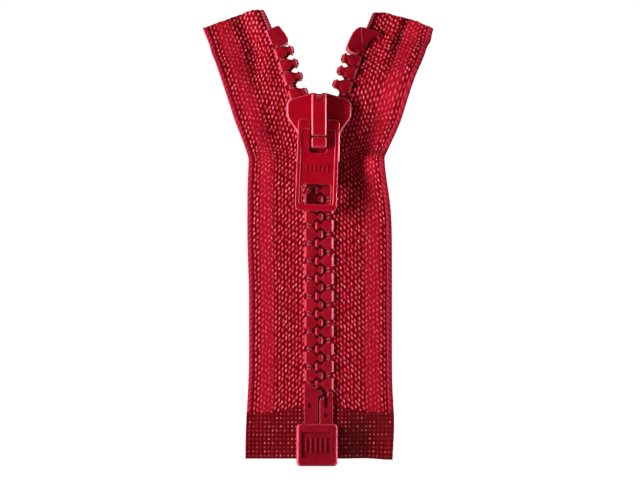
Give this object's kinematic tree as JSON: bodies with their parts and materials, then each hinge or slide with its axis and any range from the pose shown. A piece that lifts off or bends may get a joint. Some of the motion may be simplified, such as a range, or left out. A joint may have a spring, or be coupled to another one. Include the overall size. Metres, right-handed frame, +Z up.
{
  "type": "separating zipper",
  "caption": "Open-end moulded-tooth zipper with woven tapes, auto-lock slider, windowed pull tab and retainer box, partly unzipped at the top.",
  "frame": {"origin": "chain centreline, middle of the tape thickness, bottom face of the retainer box", "axes": "+Z runs up the closed chain from the retainer box to the slider, -Y is the pull side, +X is the insertion-pin side"},
  "size_m": [0.0532, 0.0198, 0.1045],
  "materials": {
    "tape": "woven polyester, soft sheen",
    "film": "satin laminated film over weave",
    "tooth": "satin moulded",
    "moulded": "satin moulded",
    "enamel": "gloss enamel",
    "steel": "bright spring steel"
  },
  "bodies": {
    "chain": {"left_tape": "tape", "right_tape": "tape", "left_film_front": "film", "left_film_back": "film", "right_film_front": "film", "right_film_back": "film", "tooth_left_01": "tooth", "tooth_left_02": "tooth", "tooth_left_03": "tooth", "tooth_left_04": "tooth", "tooth_left_05": "tooth", "tooth_left_06": "tooth", "tooth_left_07": "tooth", "tooth_left_08": "tooth", "tooth_left_09": "tooth", "tooth_left_10": "tooth", "tooth_left_11": "tooth", "tooth_left_12": "tooth", "tooth_left_13": "tooth", "tooth_left_14": "tooth", "tooth_left_15": "tooth", "tooth_left_16": "tooth", "tooth_left_17": "tooth", "tooth_left_18": "tooth", "tooth_left_19": "tooth", "tooth_left_20": "tooth", "tooth_right_01": "tooth", "tooth_right_02": "tooth", "tooth_right_03": "tooth", "tooth_right_04": "tooth", "tooth_right_05": "tooth", "tooth_right_06": "tooth", "tooth_right_07": "tooth", "tooth_right_08": "tooth", "tooth_right_09": "tooth", "tooth_right_10": "tooth", "tooth_right_11": "tooth", "tooth_right_12": "tooth", "tooth_right_13": "tooth", "tooth_right_14": "tooth", "tooth_right_15": "tooth", "tooth_right_16": "tooth", "tooth_right_17": "tooth", "tooth_right_18": "tooth", "tooth_right_19": "tooth", "tooth_right_20": "tooth", "retainer_box": "moulded", "retaining_pin": "moulded", "insertion_pin": "moulded", "left_top_stop": "moulded", "right_top_stop": "moulded"},
    "slider": {"slider_body": "enamel", "slider_cap": "enamel"},
    "pull": {"pull_tab": "enamel"},
    "lock": {"lock_pawl": "steel", "lock_spring": "steel"}
  },
  "joints": [
    {"name": "slider_travel", "type": "slide", "parent": "chain", "child": "slider", "axis": [0, 0, 1], "range_m": [-0.0597, 0.0125], "deforming": ["tooth_left_01", "tooth_left_02", "tooth_left_03", "tooth_left_04", "tooth_left_05", "tooth_left_06", "tooth_left_07", "tooth_left_08", "tooth_left_09", "tooth_left_10", "tooth_left_11", "tooth_left_12", "tooth_left_13", "tooth_left_14", "tooth_left_15", "tooth_left_16", "tooth_left_17", "tooth_left_18", "tooth_left_19", "tooth_left_20", "tooth_right_01", "tooth_right_02", "tooth_right_03", "tooth_right_04", "tooth_right_05", "tooth_right_06", "tooth_right_07", "tooth_right_08", "tooth_right_09", "tooth_right_10", "tooth_right_11", "tooth_right_12", "tooth_right_13", "tooth_right_14", "tooth_right_15", "tooth_right_16", "tooth_right_17", "tooth_right_18", "tooth_right_19", "tooth_right_20", "left_tape", "right_tape", "left_top_stop", "right_top_stop"]},
    {"name": "pull_swing", "type": "hinge", "parent": "slider", "child": "pull", "pos_m": [0, -0.00315, 0.0791], "axis": [-1, 0, 0], "range_deg": [0, 170]},
    {"name": "lock_lift", "type": "hinge", "parent": "slider", "child": "lock", "pos_m": [0, -0.00407, 0.0832], "axis": [-1, 0, 0], "range_deg": [0, 5.2]}
  ],
  "couplings": [
    {"joint": "lock_lift", "follows": "pull_swing", "ratio": 0.03}
  ]
}
